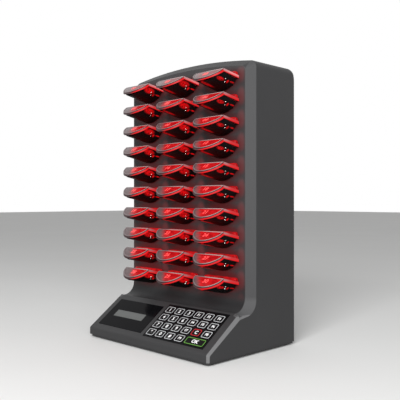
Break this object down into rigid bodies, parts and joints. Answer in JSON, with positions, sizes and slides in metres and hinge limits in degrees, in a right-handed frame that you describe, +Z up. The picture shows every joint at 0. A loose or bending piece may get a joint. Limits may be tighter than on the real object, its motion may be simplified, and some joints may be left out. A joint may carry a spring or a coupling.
{
  "type": "guest pager system",
  "caption": "Desktop guest pager charging rack: a tall column with slanted pagers plugged into its front wall, over a sloping console with a display and a keypad.",
  "frame": {"origin": "centre of the footprint, at the bottom of the rubber feet", "axes": "+Z up, +X to the right as seen from the front, the front faces -Y"},
  "size_m": [0.25, 0.175, 0.4],
  "materials": {
    "housing_grey": "fine textured dark grey moulding",
    "cover_black": "fine textured near-black moulding",
    "gloss_black": "polished black panel",
    "key_black": "satin black key with a printed outline",
    "board_green": "green solder mask",
    "rubber_black": "matt",
    "screw_steel": "black-tinted steel",
    "pager_red": "smoky clear top, red-lit ring, black bottom"
  },
  "bodies": {
    "housing": {"front_housing": "housing_grey", "rear_cover": "cover_black", "display_window": "gloss_black", "keypad_bezel": "gloss_black", "circuit_boards": "board_green", "rubber_feet": "rubber_black", "cover_screws": "screw_steel"},
    "pager_01": {"pager_01": "pager_red"},
    "pager_02": {"pager_02": "pager_red"},
    "pager_03": {"pager_03": "pager_red"},
    "pager_04": {"pager_04": "pager_red"},
    "pager_05": {"pager_05": "pager_red"},
    "pager_06": {"pager_06": "pager_red"},
    "pager_07": {"pager_07": "pager_red"},
    "pager_08": {"pager_08": "pager_red"},
    "pager_09": {"pager_09": "pager_red"},
    "pager_10": {"pager_10": "pager_red"},
    "pager_11": {"pager_11": "pager_red"},
    "pager_12": {"pager_12": "pager_red"},
    "pager_13": {"pager_13": "pager_red"},
    "pager_14": {"pager_14": "pager_red"},
    "pager_15": {"pager_15": "pager_red"},
    "pager_16": {"pager_16": "pager_red"},
    "pager_17": {"pager_17": "pager_red"},
    "pager_18": {"pager_18": "pager_red"},
    "pager_19": {"pager_19": "pager_red"},
    "pager_20": {"pager_20": "pager_red"},
    "pager_21": {"pager_21": "pager_red"},
    "pager_22": {"pager_22": "pager_red"},
    "pager_23": {"pager_23": "pager_red"},
    "pager_24": {"pager_24": "pager_red"},
    "pager_25": {"pager_25": "pager_red"},
    "pager_26": {"pager_26": "pager_red"},
    "pager_27": {"pager_27": "pager_red"},
    "pager_28": {"pager_28": "pager_red"},
    "pager_29": {"pager_29": "pager_red"},
    "pager_30": {"pager_30": "pager_red"},
    "key_01": {"key_01": "key_black"},
    "key_02": {"key_02": "key_black"},
    "key_03": {"key_03": "key_black"},
    "key_04": {"key_04": "key_black"},
    "key_05": {"key_05": "key_black"},
    "key_06": {"key_06": "key_black"},
    "key_07": {"key_07": "key_black"},
    "key_08": {"key_08": "key_black"},
    "key_09": {"key_09": "key_black"},
    "key_10": {"key_10": "key_black"},
    "key_11": {"key_11": "key_black"},
    "key_12": {"key_12": "key_black"},
    "key_13": {"key_13": "key_black"},
    "key_14": {"key_14": "key_black"},
    "key_15": {"key_15": "key_black"},
    "key_16": {"key_16": "key_black"},
    "key_17": {"key_17": "key_black"},
    "key_18": {"key_18": "key_black"},
    "key_19": {"key_19": "key_black"},
    "key_20": {"key_20": "key_black"},
    "key_21": {"key_21": "key_black"},
    "key_22": {"key_22": "key_black"},
    "key_23": {"key_23": "key_black"}
  },
  "joints": [
    {"name": "pager_01_slide", "type": "slide", "parent": "housing", "child": "pager_01", "axis": [0, -0.9816, 0.1908], "range_m": [0, 0.06]},
    {"name": "pager_02_slide", "type": "slide", "parent": "housing", "child": "pager_02", "axis": [0, -0.9816, 0.1908], "range_m": [0, 0.06]},
    {"name": "pager_03_slide", "type": "slide", "parent": "housing", "child": "pager_03", "axis": [0, -0.9816, 0.1908], "range_m": [0, 0.06]},
    {"name": "pager_04_slide", "type": "slide", "parent": "housing", "child": "pager_04", "axis": [0, -0.9816, 0.1908], "range_m": [0, 0.06]},
    {"name": "pager_05_slide", "type": "slide", "parent": "housing", "child": "pager_05", "axis": [0, -0.9816, 0.1908], "range_m": [0, 0.06]},
    {"name": "pager_06_slide", "type": "slide", "parent": "housing", "child": "pager_06", "axis": [0, -0.9816, 0.1908], "range_m": [0, 0.06]},
    {"name": "pager_07_slide", "type": "slide", "parent": "housing", "child": "pager_07", "axis": [0, -0.9816, 0.1908], "range_m": [0, 0.06]},
    {"name": "pager_08_slide", "type": "slide", "parent": "housing", "child": "pager_08", "axis": [0, -0.9816, 0.1908], "range_m": [0, 0.06]},
    {"name": "pager_09_slide", "type": "slide", "parent": "housing", "child": "pager_09", "axis": [0, -0.9816, 0.1908], "range_m": [0, 0.06]},
    {"name": "pager_10_slide", "type": "slide", "parent": "housing", "child": "pager_10", "axis": [0, -0.9816, 0.1908], "range_m": [0, 0.06]},
    {"name": "pager_11_slide", "type": "slide", "parent": "housing", "child": "pager_11", "axis": [0, -0.9816, 0.1908], "range_m": [0, 0.06]},
    {"name": "pager_12_slide", "type": "slide", "parent": "housing", "child": "pager_12", "axis": [0, -0.9816, 0.1908], "range_m": [0, 0.06]},
    {"name": "pager_13_slide", "type": "slide", "parent": "housing", "child": "pager_13", "axis": [0, -0.9816, 0.1908], "range_m": [0, 0.06]},
    {"name": "pager_14_slide", "type": "slide", "parent": "housing", "child": "pager_14", "axis": [0, -0.9816, 0.1908], "range_m": [0, 0.06]},
    {"name": "pager_15_slide", "type": "slide", "parent": "housing", "child": "pager_15", "axis": [0, -0.9816, 0.1908], "range_m": [0, 0.06]},
    {"name": "pager_16_slide", "type": "slide", "parent": "housing", "child": "pager_16", "axis": [0, -0.9816, 0.1908], "range_m": [0, 0.06]},
    {"name": "pager_17_slide", "type": "slide", "parent": "housing", "child": "pager_17", "axis": [0, -0.9816, 0.1908], "range_m": [0, 0.06]},
    {"name": "pager_18_slide", "type": "slide", "parent": "housing", "child": "pager_18", "axis": [0, -0.9816, 0.1908], "range_m": [0, 0.06]},
    {"name": "pager_19_slide", "type": "slide", "parent": "housing", "child": "pager_19", "axis": [0, -0.9816, 0.1908], "range_m": [0, 0.06]},
    {"name": "pager_20_slide", "type": "slide", "parent": "housing", "child": "pager_20", "axis": [0, -0.9816, 0.1908], "range_m": [0, 0.06]},
    {"name": "pager_21_slide", "type": "slide", "parent": "housing", "child": "pager_21", "axis": [0, -0.9816, 0.1908], "range_m": [0, 0.06]},
    {"name": "pager_22_slide", "type": "slide", "parent": "housing", "child": "pager_22", "axis": [0, -0.9816, 0.1908], "range_m": [0, 0.06]},
    {"name": "pager_23_slide", "type": "slide", "parent": "housing", "child": "pager_23", "axis": [0, -0.9816, 0.1908], "range_m": [0, 0.06]},
    {"name": "pager_24_slide", "type": "slide", "parent": "housing", "child": "pager_24", "axis": [0, -0.9816, 0.1908], "range_m": [0, 0.06]},
    {"name": "pager_25_slide", "type": "slide", "parent": "housing", "child": "pager_25", "axis": [0, -0.9816, 0.1908], "range_m": [0, 0.06]},
    {"name": "pager_26_slide", "type": "slide", "parent": "housing", "child": "pager_26", "axis": [0, -0.9816, 0.1908], "range_m": [0, 0.06]},
    {"name": "pager_27_slide", "type": "slide", "parent": "housing", "child": "pager_27", "axis": [0, -0.9816, 0.1908], "range_m": [0, 0.06]},
    {"name": "pager_28_slide", "type": "slide", "parent": "housing", "child": "pager_28", "axis": [0, -0.9816, 0.1908], "range_m": [0, 0.06]},
    {"name": "pager_29_slide", "type": "slide", "parent": "housing", "child": "pager_29", "axis": [0, -0.9816, 0.1908], "range_m": [0, 0.06]},
    {"name": "pager_30_slide", "type": "slide", "parent": "housing", "child": "pager_30", "axis": [0, -0.9816, 0.1908], "range_m": [0, 0.06]},
    {"name": "key_01_press", "type": "slide", "parent": "housing", "child": "key_01", "axis": [0, 0.5818, -0.8134], "range_m": [0, 0.0006], "stiffness_N_per_m": 1500},
    {"name": "key_02_press", "type": "slide", "parent": "housing", "child": "key_02", "axis": [0, 0.5818, -0.8134], "range_m": [0, 0.0006], "stiffness_N_per_m": 1500},
    {"name": "key_03_press", "type": "slide", "parent": "housing", "child": "key_03", "axis": [0, 0.5818, -0.8134], "range_m": [0, 0.0006], "stiffness_N_per_m": 1500},
    {"name": "key_04_press", "type": "slide", "parent": "housing", "child": "key_04", "axis": [0, 0.5818, -0.8134], "range_m": [0, 0.0006], "stiffness_N_per_m": 1500},
    {"name": "key_05_press", "type": "slide", "parent": "housing", "child": "key_05", "axis": [0, 0.5818, -0.8134], "range_m": [0, 0.0006], "stiffness_N_per_m": 1500},
    {"name": "key_06_press", "type": "slide", "parent": "housing", "child": "key_06", "axis": [0, 0.5818, -0.8134], "range_m": [0, 0.0006], "stiffness_N_per_m": 1500},
    {"name": "key_07_press", "type": "slide", "parent": "housing", "child": "key_07", "axis": [0, 0.5818, -0.8134], "range_m": [0, 0.0006], "stiffness_N_per_m": 1500},
    {"name": "key_08_press", "type": "slide", "parent": "housing", "child": "key_08", "axis": [0, 0.5818, -0.8134], "range_m": [0, 0.0006], "stiffness_N_per_m": 1500},
    {"name": "key_09_press", "type": "slide", "parent": "housing", "child": "key_09", "axis": [0, 0.5818, -0.8134], "range_m": [0, 0.0006], "stiffness_N_per_m": 1500},
    {"name": "key_10_press", "type": "slide", "parent": "housing", "child": "key_10", "axis": [0, 0.5818, -0.8134], "range_m": [0, 0.0006], "stiffness_N_per_m": 1500},
    {"name": "key_11_press", "type": "slide", "parent": "housing", "child": "key_11", "axis": [0, 0.5818, -0.8134], "range_m": [0, 0.0006], "stiffness_N_per_m": 1500},
    {"name": "key_12_press", "type": "slide", "parent": "housing", "child": "key_12", "axis": [0, 0.5818, -0.8134], "range_m": [0, 0.0006], "stiffness_N_per_m": 1500},
    {"name": "key_13_press", "type": "slide", "parent": "housing", "child": "key_13", "axis": [0, 0.5818, -0.8134], "range_m": [0, 0.0006], "stiffness_N_per_m": 1500},
    {"name": "key_14_press", "type": "slide", "parent": "housing", "child": "key_14", "axis": [0, 0.5818, -0.8134], "range_m": [0, 0.0006], "stiffness_N_per_m": 1500},
    {"name": "key_15_press", "type": "slide", "parent": "housing", "child": "key_15", "axis": [0, 0.5818, -0.8134], "range_m": [0, 0.0006], "stiffness_N_per_m": 1500},
    {"name": "key_16_press", "type": "slide", "parent": "housing", "child": "key_16", "axis": [0, 0.5818, -0.8134], "range_m": [0, 0.0006], "stiffness_N_per_m": 1500},
    {"name": "key_17_press", "type": "slide", "parent": "housing", "child": "key_17", "axis": [0, 0.5818, -0.8134], "range_m": [0, 0.0006], "stiffness_N_per_m": 1500},
    {"name": "key_18_press", "type": "slide", "parent": "housing", "child": "key_18", "axis": [0, 0.5818, -0.8134], "range_m": [0, 0.0006], "stiffness_N_per_m": 1500},
    {"name": "key_19_press", "type": "slide", "parent": "housing", "child": "key_19", "axis": [0, 0.5818, -0.8134], "range_m": [0, 0.0006], "stiffness_N_per_m": 1500},
    {"name": "key_20_press", "type": "slide", "parent": "housing", "child": "key_20", "axis": [0, 0.5818, -0.8134], "range_m": [0, 0.0006], "stiffness_N_per_m": 1500},
    {"name": "key_21_press", "type": "slide", "parent": "housing", "child": "key_21", "axis": [0, 0.5818, -0.8134], "range_m": [0, 0.0006], "stiffness_N_per_m": 1500},
    {"name": "key_22_press", "type": "slide", "parent": "housing", "child": "key_22", "axis": [0, 0.5818, -0.8134], "range_m": [0, 0.0006], "stiffness_N_per_m": 1500},
    {"name": "key_23_press", "type": "slide", "parent": "housing", "child": "key_23", "axis": [0, 0.5818, -0.8134], "range_m": [0, 0.0006], "stiffness_N_per_m": 1500}
  ]
}
